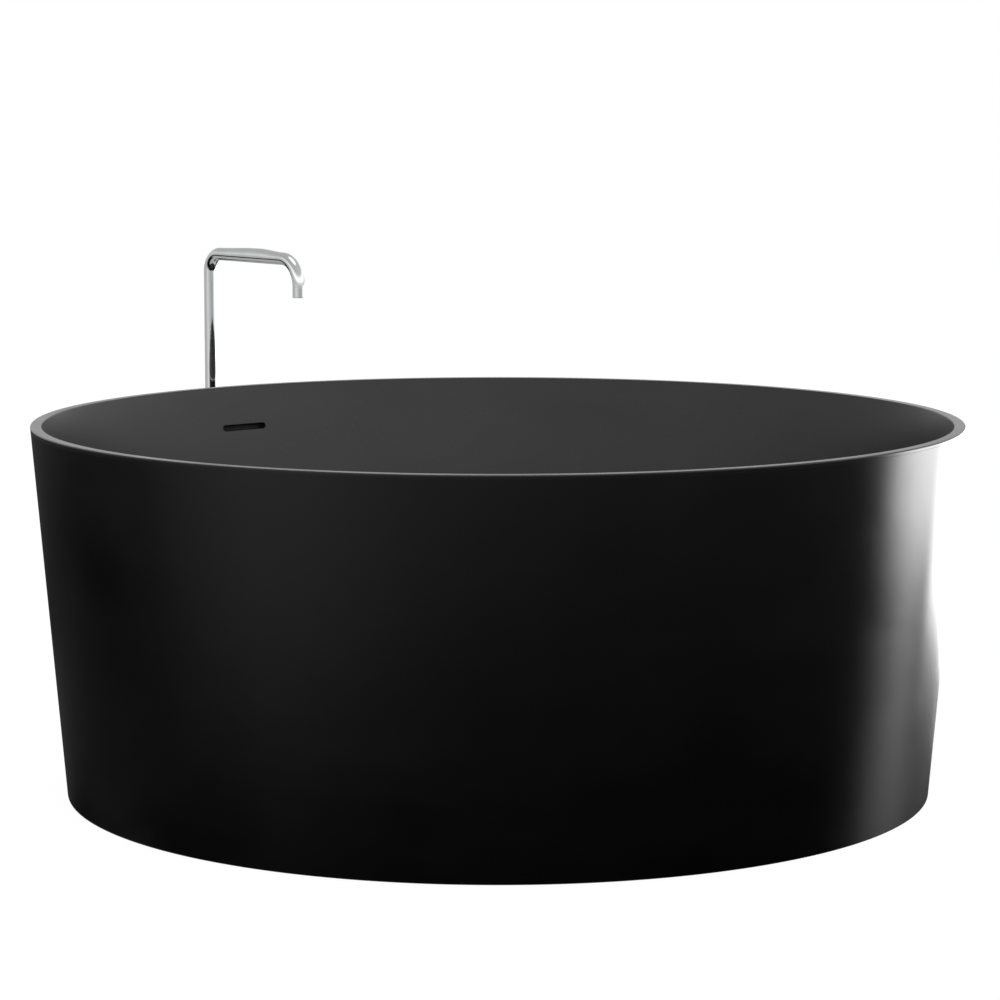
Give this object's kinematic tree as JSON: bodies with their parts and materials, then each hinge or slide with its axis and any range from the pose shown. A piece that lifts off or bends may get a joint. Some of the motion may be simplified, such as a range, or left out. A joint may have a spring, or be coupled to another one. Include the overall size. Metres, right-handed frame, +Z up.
{
  "type": "freestanding bathtub with floor-standing spout",
  "caption": "Round double-walled freestanding bath with a slim rim, slot overflow and push-open waste, with a floor-standing swivel spout behind the rim.",
  "frame": {"origin": "on the floor under the centre of the bath", "axes": "+Z up, -Y towards the front, +X to the right; the spout stands behind and to the left"},
  "size_m": [1.5, 1.5, 0.845],
  "materials": {
    "resin_shell": "satin",
    "resin_skirt": "satin",
    "birch_ply": "matte",
    "pine_block": "matte",
    "foot_rubber": "matte",
    "seal_rubber": "matte",
    "zinc_steel": "satin",
    "brass_parts": "satin",
    "chrome_trim": "polished",
    "chrome_tube": "polished",
    "black_plastic": "satin",
    "hose_plastic": "matte",
    "white_plastic": "satin"
  },
  "bodies": {
    "bath": {"basin": "resin_shell", "outer_skirt": "resin_skirt", "base_board": "birch_ply", "overflow_gasket": "seal_rubber", "overflow_duct": "black_plastic", "overflow_hose": "hose_plastic", "hose_clamp_upper": "zinc_steel", "hose_clamp_lower": "zinc_steel", "hose_clip": "white_plastic", "waste_flange": "chrome_trim", "waste_gasket_upper": "seal_rubber", "waste_gasket_lower": "seal_rubber", "waste_tee": "black_plastic", "trap_bend": "white_plastic", "trap_washer_inlet": "seal_rubber", "trap_nut_inlet": "white_plastic", "trap_washer_outlet": "seal_rubber", "trap_nut_outlet": "white_plastic", "waste_pipe": "white_plastic", "plug_cartridge": "brass_parts", "plug_cartridge_cap": "brass_parts", "plug_spring": "zinc_steel", "anchor_plate": "zinc_steel", "escutcheon": "chrome_trim", "spout_hub": "chrome_trim", "swivel_bush": "white_plastic", "o_ring_lower": "seal_rubber", "o_ring_upper": "seal_rubber", "spout_collar": "chrome_trim", "grub_screw": "zinc_steel", "support_block_1": "pine_block", "foot_pad_1": "foot_rubber", "foot_stud_1": "zinc_steel", "foot_nut_1": "zinc_steel", "support_block_2": "pine_block", "foot_pad_2": "foot_rubber", "foot_stud_2": "zinc_steel", "foot_nut_2": "zinc_steel", "support_block_3": "pine_block", "foot_pad_3": "foot_rubber", "foot_stud_3": "zinc_steel", "foot_nut_3": "zinc_steel", "support_block_4": "pine_block", "foot_pad_4": "foot_rubber", "foot_stud_4": "zinc_steel", "foot_nut_4": "zinc_steel", "support_block_5": "pine_block", "foot_pad_5": "foot_rubber", "foot_stud_5": "zinc_steel", "foot_nut_5": "zinc_steel", "anchor_screw_1": "zinc_steel", "anchor_screw_2": "zinc_steel", "anchor_screw_3": "zinc_steel"},
    "spout": {"spout_tube": "chrome_tube", "aerator_ring": "chrome_trim", "aerator_washer": "seal_rubber", "aerator_insert": "white_plastic"},
    "plug": {"plug_cap": "chrome_trim", "plug_seal": "seal_rubber", "plug_stem": "brass_parts"}
  },
  "joints": [
    {"name": "spout_swivel", "type": "hinge", "parent": "bath", "child": "spout", "pos_m": [-0.51819, 0.63423, 0.3], "axis": [0, 0, 1], "range_deg": [-70, 70]},
    {"name": "plug_travel", "type": "slide", "parent": "bath", "child": "plug", "axis": [0, 0, 1], "range_m": [0, 0.008], "deforming": ["plug_spring"]}
  ]
}
